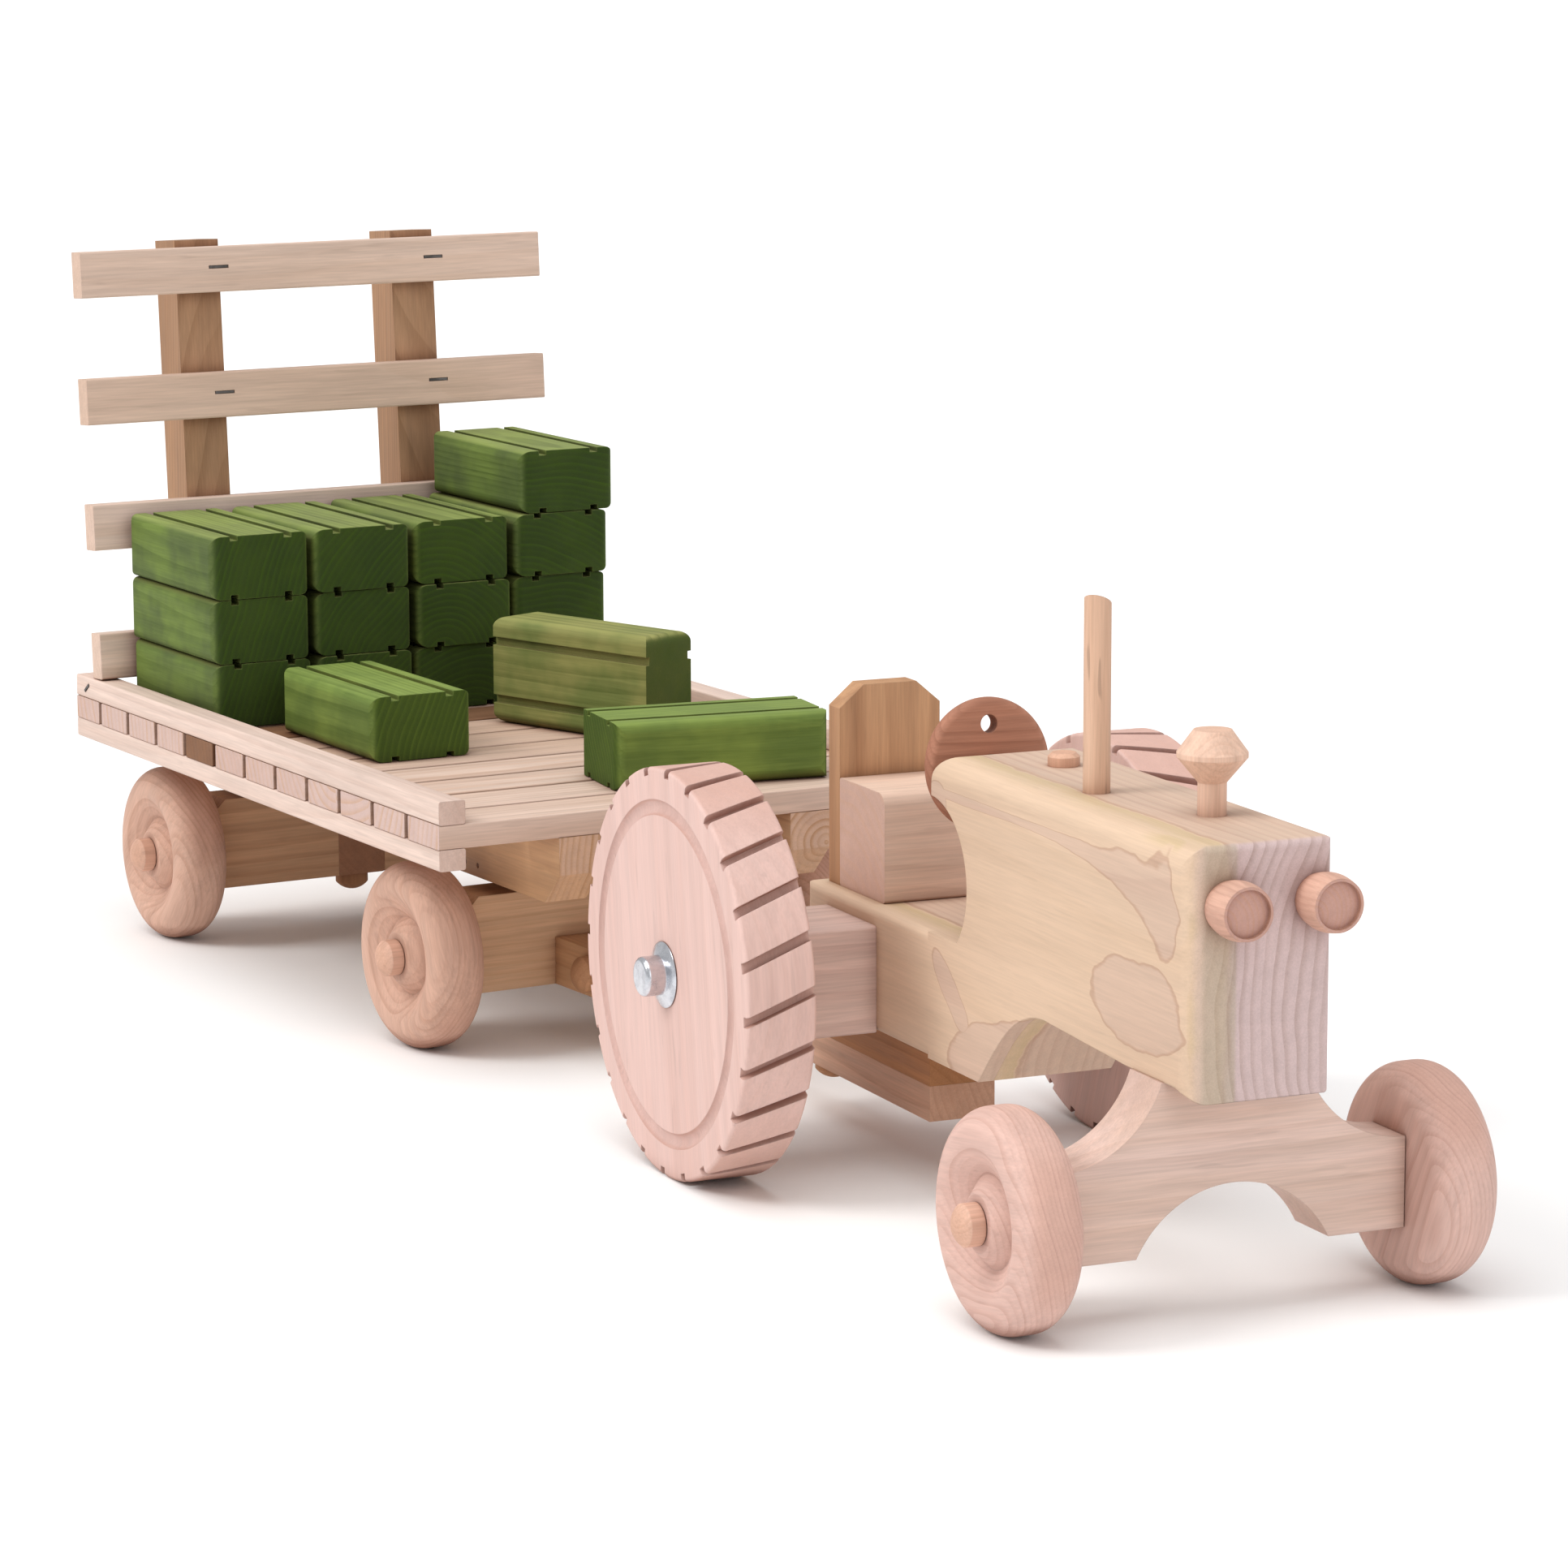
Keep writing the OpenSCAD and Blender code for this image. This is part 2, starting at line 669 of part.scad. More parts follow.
module front_bolster() { color("tan") bed_place() bolster(0); }

module rear_bolster() {
  color("tan") bed_place() union() {
    bolster(-wagon_base);
    translate([-wagon_base - wbeam_t / 2, -sill_y[0] + glued, wbeam_z[1]]) difference() {
      cube([wbeam_t, 2 * (sill_y[0] - glued), gap + 1]);
      translate([wbeam_t / 2, sill_y[0] - glued, -1]) cylinder(h = 4, r = pin_r + glued);
    }
  }
}

module sill(side) {
  y0 = side > 0 ? sill_y[0] : -sill_y[1];
  width = sill_y[1] - sill_y[0];
  difference() {
    translate([0, y0 + width / 2, 0]) across(width) polygon([
      [bed_rear, sill_bottom], [bed_front - sill_chamfer, sill_bottom],
      [bed_front, sill_bottom + sill_chamfer], [bed_front, slat_bottom], [bed_rear, slat_bottom]
    ]);
    // brad holes into the bolsters
    for (x = [-6.5, 2.8, -wagon_base - 4, -wagon_base + 5])
      translate([x, side * sill_y[1], sill_bottom + 4]) rotate([90, 0, 0]) cylinder(h = 6, r = 0.9, center = true);
  }
}

module sill_left() { color("tan") bed_place() sill(1); }
module sill_right() { color("tan") bed_place() sill(-1); }

module wagon_rear_beam() {
  color("peru") bed_place() translate([-wagon_base, 0, 0]) wagon_beam(tongue_w / 2 + glued, glued);
}

// Short block let into the underside of the rear beam
module rear_beam_insert() {
  color("rosybrown") bed_place() difference() {
    eased_bar_x(
      [-wagon_base - wbeam_t / 2, -tongue_w / 2, cheek_z[0]],
      [-wagon_base + wbeam_t / 2, tongue_w / 2, cheek_z[1]], 1);
    translate([-wagon_base, 0, 0]) cylinder(h = 60, r = pin_r + glued);
  }
}

module rear_beam_pin() {
  color("saddlebrown") bed_place() translate([-wagon_base, 0, cheek_z[0]]) rotate([180, 0, 0]) peg(48, pin_r);
}

module rear_wagon_wheel(side) { translate([-wagon_base, 0, 0]) wagon_wheel(side); }
module wagon_rear_left_wheel() { color("mistyrose") bed_place() rear_wagon_wheel(1); }
module wagon_rear_right_wheel() { color("mistyrose") bed_place() rear_wagon_wheel(-1); }
module wagon_rear_pegs() {
  color("burlywood") bed_place() translate([-wagon_base, 0, 0])
    for (side = [-1, 1]) wheel_peg(side, wagon_track_y, wbeam_half);
}

// A pair of rails along the bed's sides between two heights
module rail_pair(z0, z1) {
  for (side = [-1, 1]) let (y = side * (bed_w - rail_w) / 2)
    eased_bar_x([bed_rear, y - rail_w / 2, z0], [bed_front, y + rail_w / 2, z1], 0.8);
}

module lower_rails() { color("mistyrose") bed_place() rail_pair(slat_bottom - lower_rail_t, slat_bottom); }

module slat(i) {
  front = bed_front - i * slat_pitch;
  rear = max(front - slat_w, bed_rear);
  eased_bar_y([rear, -bed_w / 2, slat_bottom], [front, bed_w / 2, bed_top], 0.6);
}

module deck_slats() {
  color("bisque") bed_place() for (i = [0 : slat_count - 1]) if (i != heartwood_index) slat(i);
}

module heartwood_slat() { color("peru") bed_place() slat(heartwood_index); }

// Sunk seats for the staples' crowns, shared by what carries them
module rail_staple_place() {
  for (side = [-1, 1]) translate([bed_rear + 10, side * bed_w / 2, bed_top + rail_t / 2])
    rotate([0, 35 * side, 0]) children();
}

module upper_rails() {
  color("mistyrose") bed_place() difference() {
    rail_pair(bed_top, bed_top + rail_t);
    rail_staple_place() cube([5, 1.2, 1.2], center = true);
  }
}

// ---------------------------------------------------------------- hay rack

// Frame of the rack: leans back, boards' front faces on the YZ plane
module rack_place() { bed_place() translate([rack_x, 0, rack_foot]) rotate([0, -rack_lean, 0]) children(); }

module board_staple_place() {
  for (rise = board_rise, side = [-1, 1]) translate([0, side * stake_y + 5, rise + board_h * 0.55]) children();
}

module rack_boards() {
  color("antiquewhite") rack_place() difference() {
    for (rise = board_rise) eased_bar_y([-board_t, -board_half, rise], [0, board_half, rise + board_h], 0.7);
    board_staple_place() cube([1.2, 8, 1.2], center = true);
  }
}

module rack_stakes() {
  foot = (rack_foot - bed_top) / cos(rack_lean);
  color("tan") intersection() {
    rack_place() for (side = [-1, 1])
      translate([-board_t - stake_t, side * stake_y - stake_w / 2, -foot - 3])
        cube([stake_t, stake_w, stake_up + foot + 3]);
    bed_place() translate([-400, -100, bed_top]) cube([400, 200, 200]);
  }
}

module staples() {
  color("gray") {
    rack_place() board_staple_place() translate([-0.25, 0, 0]) cube([0.5, 7.4, 0.9], center = true);
    bed_place() rail_staple_place() cube([4.6, 0.7, 0.9], center = true);
  }
}

// ---------------------------------------------------------------- hay bales

// One bale lying flat, centred on X and Y, standing on z = 0
module bale() {
  difference() {
    intersection() {
      eased_bar_x([-bale_l / 2, -bale_w / 2, 0], [bale_l / 2, bale_w / 2, bale_h], bale_round);
      linear_extrude(bale_h) round_rect([-bale_l / 2, -bale_w / 2], [bale_l / 2, bale_w / 2], bale_round);
    }
    for (y = [-string_y, string_y], z = [0, bale_h]) translate([0, y, z])
      cube([bale_l + 2, string_w, 2 * string_d], center = true);
  }
}

// Small shifts that keep a hand-stacked pile from looking machined
function jog(row, column) = [0.7 * sin(137 * (row * 4 + column)), 0.5 * sin(71 * (row * 4 + column) + 40)];

module bale_row(row) {
  bed_place() for (column = [0 : 3]) let (j = jog(row, column))
    translate([stack_x + 0.7 + j[0], (column - 1.5) * column_pitch - 3 + j[1], bed_top + gap + row * row_pitch]) bale();
}

module bottom_row_bales() { color("olivedrab") bale_row(0); }
module middle_row_bales() { color("olivedrab") bale_row(1); }
module top_row_bales() { color("olivedrab") bale_row(2); }

module single_top_bale() {
  color("olivedrab") bed_place()
    translate([stack_x + 1, 1.5 * column_pitch, bed_top + gap + 3 * row_pitch]) bale();
}

module loose_bale_near() {
  color("yellowgreen") bed_place() translate([-91.2, -45.1, bed_top + gap]) bale();
}

module loose_bale_on_edge() {
  color("yellowgreen") bed_place() translate([-77.3, 34.3, bed_top + gap]) rotate([0, 0, 18.1])
    translate([0, bale_h / 2, bale_w / 2]) rotate([90, 0, 0]) bale();
}

module loose_bale_front() {
  color("olivedrab") bed_place() translate([26.4, 24.1, bed_top + gap]) rotate([0, 0, 80.6]) bale();
}

tractor_body();
seat_block();
seat_back();
seat_dowels();
steering_wheel();
steering_post();
exhaust_pipe();
air_cleaner();
fuel_cap();
headlight_left();
headlight_right();
front_axle_beam();
beam_dowels();
front_wheel_left();
front_wheel_right();
front_wheel_pegs();
axle_block_left();
axle_block_right();
rear_axle_rod();
rear_wheel_left();
rear_wheel_right();
axle_caps();
hitch_spacer();
drawbar();
drawbar_dowels();
hitch_peg();
tongue();
tongue_peg();
clevis_cheek_left();
clevis_cheek_right();
wagon_front_beam();
wagon_front_left_wheel();
wagon_front_right_wheel();
wagon_front_pegs();
kingpin();
front_bolster();
rear_bolster();
sill_left();
sill_right();
wagon_rear_beam();
rear_beam_insert();
rear_beam_pin();
wagon_rear_left_wheel();
wagon_rear_right_wheel();
wagon_rear_pegs();
lower_rails();
deck_slats();
heartwood_slat();
upper_rails();
rack_stakes();
rack_boards();
staples();
bottom_row_bales();
middle_row_bales();
top_row_bales();
single_top_bale();
loose_bale_near();
loose_bale_on_edge();
loose_bale_front();
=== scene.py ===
import json
import math
from collections import namedtuple

import bmesh
import bpy
from mathutils import Euler, Matrix, Vector

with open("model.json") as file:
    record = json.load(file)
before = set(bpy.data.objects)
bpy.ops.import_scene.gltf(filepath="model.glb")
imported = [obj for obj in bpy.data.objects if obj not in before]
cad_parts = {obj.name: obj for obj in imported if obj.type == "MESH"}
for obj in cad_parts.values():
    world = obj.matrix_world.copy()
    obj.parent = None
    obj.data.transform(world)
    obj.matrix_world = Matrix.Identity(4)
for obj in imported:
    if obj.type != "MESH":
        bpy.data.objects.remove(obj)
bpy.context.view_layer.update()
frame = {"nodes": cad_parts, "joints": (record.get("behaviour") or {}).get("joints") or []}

MM = 0.001
NODES = frame["nodes"]
JOINTS = {j["name"]: j for j in frame["joints"]}


# ---------------------------------------------------------------- places, from the frame

def joint_at(name):
    return Vector(JOINTS[name]["pos_m"])


rear_axle = joint_at("rear_wheel_left_spin")
# the ground is one wheel radius below the rear axle, and heights are counted from a line just under it
REAR_WHEEL_RADIUS = 64 * MM
LINE_BELOW_GROUND = 1.2 * MM
AXLE_HEIGHT = REAR_WHEEL_RADIUS + LINE_BELOW_GROUND
ORIGIN = Vector((rear_axle.x, joint_at("hitch_yaw").y, rear_axle.z - AXLE_HEIGHT))
bed_axis = Vector(JOINTS["wagon_rear_left_wheel_spin"]["axis"])
axle_axis = Vector(JOINTS["wagon_front_left_wheel_spin"]["axis"])
BED_YAW = math.atan2(-bed_axis.x, bed_axis.y)
AXLE_YAW = math.atan2(-axle_axis.x, axle_axis.y)
kingpin = joint_at("kingpin_yaw")
BED_ORIGIN = Vector((kingpin.x, kingpin.y, ORIGIN.z))


def towards(azimuth, elevation):
    """The unit vector to something seen at this azimuth and elevation, both in radians."""
    level = math.cos(elevation)
    return Vector((math.sin(azimuth) * level, -math.cos(azimuth) * level, math.sin(elevation)))


# ---------------------------------------------------------------- node helpers

def linear(r, g, b):
    """An sRGB colour, 0 to 255, as the linear colour that shaders take."""
    out = []
    for v in (r, g, b):
        v = v / 255.0
        out.append(v / 12.92 if v <= 0.04045 else ((v + 0.055) / 1.055) ** 2.4)
    return (*out, 1.0)


def shifted(tone, step):
    """An sRGB colour made lighter, or with a negative step darker."""
    return [min(255, max(0, v + step)) for v in tone]


class Graph:
    """Short names for building a shader tree."""

    def __init__(self, name):
        self.mat = bpy.data.materials.new(name)
        self.mat.use_nodes = True
        self.tree = self.mat.node_tree
        self.tree.nodes.clear()

    def node(self, kind, **settings):
        n = self.tree.nodes.new("ShaderNode" + kind)
        for key, value in settings.items():
            setattr(n, key, value)
        return n

    def link(self, a, b):
        self.tree.links.new(a, b)

    def put(self, socket, value):
        if isinstance(value, bpy.types.NodeSocket):
            self.link(value, socket)
        else:
            socket.default_value = value

    def math(self, op, a, b=None, c=None, clamp=False):
        n = self.node("Math", operation=op, use_clamp=clamp)
        self.put(n.inputs[0], a)
        if b is not None:
            self.put(n.inputs[1], b)
        if c is not None:
            self.put(n.inputs[2], c)
        return n.outputs[0]

    def vec(self, op, a, b=None, scale=None):
        n = self.node("VectorMath", operation=op)
        self.put(n.inputs[0], a)
        if b is not None:
            self.put(n.inputs[1], b)
        if scale is not None:
            self.put(n.inputs["Scale"], scale)
        return n.outputs["Value"] if op in ("LENGTH", "DOT_PRODUCT") else n.outputs["Vector"]

    def noise(self, vector, scale, detail=2.0, rough=0.5, distortion=0.0):
        n = self.node("TexNoise")
        self.put(n.inputs["Vector"], vector)
        n.inputs["Scale"].default_value = scale
        n.inputs["Detail"].default_value = detail
        n.inputs["Roughness"].default_value = rough
        n.inputs["Distortion"].default_value = distortion
        return n.outputs["Fac"], n.outputs["Color"]

    def ramp(self, fac, low, high, out_low=0.0, out_high=1.0, smooth=True):
        n = self.node("MapRange", interpolation_type="SMOOTHSTEP" if smooth else "LINEAR")
        self.put(n.inputs["Value"], fac)
        n.inputs["From Min"].default_value = low
        n.inputs["From Max"].default_value = high
        n.inputs["To Min"].default_value = out_low
        n.inputs["To Max"].default_value = out_high
        return n.outputs["Result"]

    def mix(self, fac, a, b, mode="MIX"):
        n = self.node("Mix", data_type="RGBA", blend_type=mode)
        self.put(n.inputs[0], fac)
        self.put(n.inputs[6], a)
        self.put(n.inputs[7], b)
        return n.outputs[2]

    def mapping(self, vector, kind, location=(0, 0, 0), rotation=(0, 0, 0), scale=(1, 1, 1)):
        n = self.node("Mapping", vector_type=kind)
        self.put(n.inputs["Vector"], vector)
        n.inputs["Location"].default_value = location
        n.inputs["Rotation"].default_value = rotation
        n.inputs["Scale"].default_value = scale
        return n.outputs["Vector"]

    def stretched(self, vector, factor):
        """The vector with its X scaled. Below 1 it draws a pattern out along X."""
        return self.mapping(vector, "POINT", scale=(factor, 1, 1))

    def split(self, vector):
        n = self.node("SeparateXYZ")
        self.link(vector, n.inputs[0])
        return n.outputs


# ---------------------------------------------------------------- bare sanded wood

TURN = {
    "x": (0, 0, 0),
    "y": (0, 0, math.radians(90)),
    "z": (0, math.radians(-90), 0),
}
GRAIN = {"x": (1, 0, 0), "y": (0, 1, 0), "z": (0, 0, 1)}
EDGE_RADIUS = 0.5 * MM
PORE_DEPTH = 0.1 * MM
# painted shade in grooves and inner corners: how far the occlusion reaches and the tone it darkens towards
PAINTED_SHADE_REACH = 8 * MM
PAINTED_SHADE_TONE = (166, 128, 108)

# the thin colour coat of the bales: coat and coat_light cover the faces in patches, ring darkens
# the growth rings and the end grain, end_ring is for the rings on the end grain, and worn shows
# at rubbed edges and is also painted onto the tops as a painted top light
Stain = namedtuple("Stain", "coat coat_light ring end_ring worn")


def wood(name, light, dark, grain="x", yaw=0.0, origin=ORIGIN, spin=None, seed=0.0, pith=(0.05, 0.07),
         ring_mm=2.4, ring=0.35, streak=0.4, fibre=0.7, end=0.35, end_tint=None, streak_tint=None,
         patches=None, pieces=None, rough=0.62, wear=0.4, fleck=0.25, warp=0.006, stain=None):
    """Solid wood as a 3-D pattern.

    Growth rings run about a pith line, fibres along the grain, and end grain shows across it.
    """
    g = Graph(name)
    coord = g.node("TexCoord")
    local = g.mapping(coord.outputs["Object"], "TEXTURE", tuple(origin), (0, 0, yaw))
    frame_vec = local
    if spin is not None:
        local = g.mapping(local, "POINT", (0, 0, 0), spin)
    lift = g.mapping(local, "POINT", (0.37 * seed, 0.11 * seed, 0.23 * seed))
    along = g.mapping(local, "POINT", (0, 0, 0), tuple(-a for a in TURN[grain]))
    along = g.mapping(along, "POINT", (seed * 0.61, 0, 0))
    per_piece = None
    if pieces is not None:
        # separate boards of one node: each gets its own shift of the pattern and its own tone
        axis_index, pitch, offset = pieces
        place = g.split(frame_vec)[axis_index]
        index = g.math("FLOOR", g.math("DIVIDE", g.math("SUBTRACT", place, offset), pitch))
        white = g.node("TexWhiteNoise", noise_dimensions="1D")
        g.link(g.math("ADD", index, 7.3 + seed), white.inputs["W"])
        per_piece = white.outputs["Value"]
        shift = g.node("CombineXYZ")
        g.link(g.math("MULTIPLY", per_piece, 1.7), shift.inputs[0])
        g.link(g.math("MULTIPLY_ADD", per_piece, 0.05, -0.025), shift.inputs[1])
        g.link(g.math("MULTIPLY_ADD", per_piece, -0.04, 0.02), shift.inputs[2])
        along = g.vec("ADD", along, shift.outputs[0])
    slow = g.stretched(along, 0.22)
    _, bend = g.noise(slow, 16 + 3 * math.sin(seed), 2.0)
    bend = g.vec("SCALE", g.vec("SUBTRACT", bend, (0.5, 0.5, 0.5)), scale=warp * 2)
    bent = g.vec("ADD", along, bend)
    _, bent_y, bent_z = g.split(bent)
    dy = g.math("SUBTRACT", bent_y, pith[0])
    dz = g.math("SUBTRACT", bent_z, pith[1])
    radius = g.math("SQRT", g.math("ADD", g.math("MULTIPLY", dy, dy), g.math("MULTIPLY", dz, dz)))
    rings = g.math("DIVIDE", radius, ring_mm * MM)
    slow_gap, _ = g.noise(slow, 40, 1.0)
    rings = g.math("ADD", rings, g.math("MULTIPLY", slow_gap, 1.2))
    phase = g.math("FRACT", rings)
    rise = g.ramp(phase, 0.35, 0.95)
    fall = g.ramp(phase, 0.95, 1.0, 1.0, 0.0)
    late = g.math("MULTIPLY", rise, fall)
    ring_white = g.node("TexWhiteNoise", noise_dimensions="1D")
    g.link(g.math("FLOOR", rings), ring_white.inputs["W"])
    late = g.math("MULTIPLY", late, g.math("MULTIPLY_ADD", ring_white.outputs["Value"], 0.8, 0.35))
    fibres = g.stretched(along, 0.035)
    fine, _ = g.noise(fibres, 1500, 2.0, 0.6)
    medium, _ = g.noise(fibres, 240, 3.0, 0.6)
    broad, _ = g.noise(g.stretched(along, 0.1), 55, 2.0)
    pores, _ = g.noise(g.stretched(along, 0.3), 2600, 1.0)
    # how squarely this face cuts across the grain
    facing = g.math("ABSOLUTE", g.vec("DOT_PRODUCT", coord.outputs["Normal"], turned_by(grain, yaw, spin)))
    across = g.ramp(facing, 0.55, 0.95)
    light_c = linear(*light)
    dark_c = linear(*dark)
    colour = g.mix(g.math("MULTIPLY", late, ring, clamp=True), light_c, dark_c)
    tint = linear(*(streak_tint or dark))
    bands = g.ramp(broad, 0.42, 0.72)
    colour = g.mix(g.math("MULTIPLY", bands, streak, clamp=True), colour, tint)
    if patches is not None:
        colour = patches(g, frame_vec, colour, late)
    if per_piece is not None:
        colour = g.mix(g.ramp(per_piece, 0.35, 1.0, 0.0, 0.62, smooth=False), colour, tint)
    thin = g.ramp(medium, 0.3, 0.7, 1.0 - 0.16 * fibre, 1.0 + 0.05 * fibre)
    hair = g.ramp(fine, 0.25, 0.75, 1.0 - 0.14 * fibre, 1.0 + 0.06 * fibre)
    tone = g.math("MULTIPLY", thin, hair)
    dots = g.ramp(pores, 0.42, 0.62, 1.0, 0.94)
    end_dots = g.math("ADD", g.math("MULTIPLY", g.math("SUBTRACT", dots, 1.0), across), 1.0)
    tone = g.math("MULTIPLY", tone, end_dots)
    dash, _ = g.noise(g.stretched(along, 0.12), 420, 1.0)
    tone = g.math("MULTIPLY", tone, g.ramp(dash, 0.66, 0.74, 1.0, 1.0 - 0.3 * fleck))
    grey = g.node("CombineColor")
    for k in range(3):
        g.link(tone, grey.inputs[k])
    colour = g.mix(1.0, colour, grey.outputs[0], "MULTIPLY")
    end_c = linear(*(end_tint or dark))
    colour = g.mix(g.math("MULTIPLY", across, end), colour, g.mix(late, end_c, dark_c))
    if stain is not None:
        # a thin coat of colour: patchy, worn at the edges, heavier on end grain; the tops are painted
        # lighter with the worn colour as a painted top light
        coat, _ = g.noise(lift, 34, 3.0, 0.6)
        coat_c = g.mix(g.ramp(coat, 0.35, 0.68), linear(*stain.coat), linear(*stain.coat_light))
        stained = g.mix(0.93, colour, coat_c)
        # painted top light: faces that look up are mixed towards the lighter worn colour
        painted_top_light_facing = g.vec("DOT_PRODUCT", coord.outputs["Normal"], (0, 0, 1))
        stained = g.mix(g.ramp(painted_top_light_facing, 0.6, 0.95, 0.0, 0.4), stained, linear(*stain.worn))
        stained = g.mix(1.0, stained, grey.outputs[0], "MULTIPLY")
        rings_dark = g.mix(g.math("MULTIPLY", late, 0.34), stained, linear(*stain.ring))
        end_grain = g.mix(late, linear(*stain.ring), linear(*stain.end_ring))
        colour = g.mix(g.math("MULTIPLY", across, 0.8), rings_dark, end_grain)
    # painted shade: grooves, slots and inner corners are darkened through an ambient-occlusion mask, as
    # where shade falls
    painted_shade_ao = g.node("AmbientOcclusion", samples=6)
    painted_shade_ao.inputs["Distance"].default_value = PAINTED_SHADE_REACH
    painted_shade = g.ramp(painted_shade_ao.outputs["AO"], 0.25, 0.92, 0.62, 0.0)
    colour = g.mix(painted_shade, colour, g.mix(1.0, colour, linear(*PAINTED_SHADE_TONE), "MULTIPLY"))
    bevel = g.node("Bevel", samples=4)
    bevel.inputs["Radius"].default_value = EDGE_RADIUS
    geometry = g.node("NewGeometry")
    edge = g.math("SUBTRACT", 1.0, g.vec("DOT_PRODUCT", bevel.outputs[0], geometry.outputs["Normal"]))
    worn_spots, _ = g.noise(lift, 90, 2.0)
    worn = g.math("MULTIPLY", g.ramp(edge, 0.005, 0.11), g.ramp(worn_spots, 0.3, 0.65))
    pale = linear(*shifted(light, 14))
    if stain is not None:
        pale = linear(*stain.worn)
    colour = g.mix(g.math("MULTIPLY", worn, wear), colour, pale)
    height = g.math("ADD", g.math("MULTIPLY", fine, 0.5), g.math("MULTIPLY", medium, 0.6))
    height = g.math("SUBTRACT", height, g.math("MULTIPLY", late, 0.35))
    height = g.math("ADD", height, g.math("MULTIPLY", g.math("MULTIPLY", pores, across), 0.3))
    bump = g.node("Bump")
    bump.inputs["Strength"].default_value = 0.35
    bump.inputs["Distance"].default_value = PORE_DEPTH
    g.link(height, bump.inputs["Height"])
    g.link(bevel.outputs[0], bump.inputs["Normal"])
    shader = g.node("BsdfPrincipled")
    g.link(colour, shader.inputs["Base Color"])
    rough_map = g.ramp(medium, 0.25, 0.75, rough - 0.07, rough + 0.09)
    g.link(g.math("ADD", rough_map, g.math("MULTIPLY", across, 0.12)), shader.inputs["Roughness"])
    shader.inputs["IOR"].default_value = 1.45
    shader.inputs["Specular IOR Level"].default_value = 0.32
    g.link(bump.outputs[0], shader.inputs["Normal"])
    out = g.node("OutputMaterial")
    g.link(shader.outputs[0], out.inputs[0])
    return g.mat


def turned_by(grain, yaw, spin):
    """Grain direction in the shared frame, undoing the extra turn given to the pattern."""
    v = Vector(GRAIN[grain])
    if spin is not None:
        v = Euler(spin).to_matrix().inverted() @ v
    v = Matrix.Rotation(yaw, 3, "Z") @ v
    return tuple(v)


# ---------------------------------------------------------------- metal

METAL_EDGE_RADIUS = 0.4 * MM
SCRATCH_DEPTH = 0.08 * MM


def metal(name, tone, rough, scratch=0.4):
    g = Graph(name)
    coord = g.node("TexCoord")
    blotch, _ = g.noise(coord.outputs["Object"], 160, 3.0, 0.6)
    drawn = g.mapping(coord.outputs["Object"], "POINT", scale=(1, 0.08, 1))
    lines, _ = g.noise(drawn, 2400, 2.0)
    base = g.mix(g.ramp(blotch, 0.35, 0.7), linear(*tone), linear(*shifted(tone, -34)))
    scratches = g.math("MULTIPLY", g.ramp(lines, 0.45, 0.6), scratch * 0.4)
    shade = g.mix(scratches, base, linear(*shifted(tone, 20)))
    shader = g.node("BsdfPrincipled")
    g.link(shade, shader.inputs["Base Color"])
    shader.inputs["Metallic"].default_value = 1.0
    g.link(g.ramp(blotch, 0.3, 0.75, rough - 0.06, rough + 0.14), shader.inputs["Roughness"])
    bump = g.node("Bump")
    bump.inputs["Strength"].default_value = 0.25
    bump.inputs["Distance"].default_value = SCRATCH_DEPTH
    g.link(g.math("ADD", g.math("MULTIPLY", lines, 0.5), blotch), bump.inputs["Height"])
    bevel = g.node("Bevel", samples=4)
    bevel.inputs["Radius"].default_value = METAL_EDGE_RADIUS
    g.link(bevel.outputs[0], bump.inputs["Normal"])
    g.link(bump.outputs[0], shader.inputs["Normal"])
    out = g.node("OutputMaterial")
    g.link(shader.outputs[0], out.inputs[0])
    return g.mat


# ---------------------------------------------------------------- the body block's heartwood

HEART_PATCHES = [
    # x from the rear axle, z from the height line, half length, half height, tilt in degrees
    (0.190, 0.0885, 0.0275, 0.0125, 0),
    (0.108, 0.0550, 0.0400, 0.0120, 16),
    (0.071, 0.0690, 0.0150, 0.0050, -42),
    (0.062, 0.1240, 0.0060, 0.0070, 0),
]
WEDGE_TIP = 0.119
WEDGE_LENGTH = 0.099
WEDGE_HALF = 0.0165
WEDGE_TOP = 0.128
WEDGE_DROP = 0.0105
WEDGE_SWELL = 2.4
PATCH_POWER = 2.4

# across the block, from its middle: the near side is at -22.2 mm
HEART_START = -0.0105
HEART_FADE = 0.011
NEAR_SKIN = (-0.0185, -0.0125)
GREEN_SKIN = (-0.0218, -0.0195)
BAND_NEAR = (-0.0188, -0.0165)
BAND_FAR = (-0.0082, -0.0068)
# along the block, just behind its front face
FRONT_SKIN = (0.2203, 0.2221)

LILAC_SIDE = (208, 180, 160)
LILAC_FRONT = (206, 183, 186)
LILAC_LINES_SIDE = (192, 160, 144)
LILAC_LINES_FRONT = (164, 141, 144)
GREENISH = (196, 174, 126)
BORDER_BROWN = (176, 136, 110)
FRONT_SAP = (206, 182, 168)
BAND_GREY = (184, 168, 148)
BAND_LINES = (158, 142, 128)


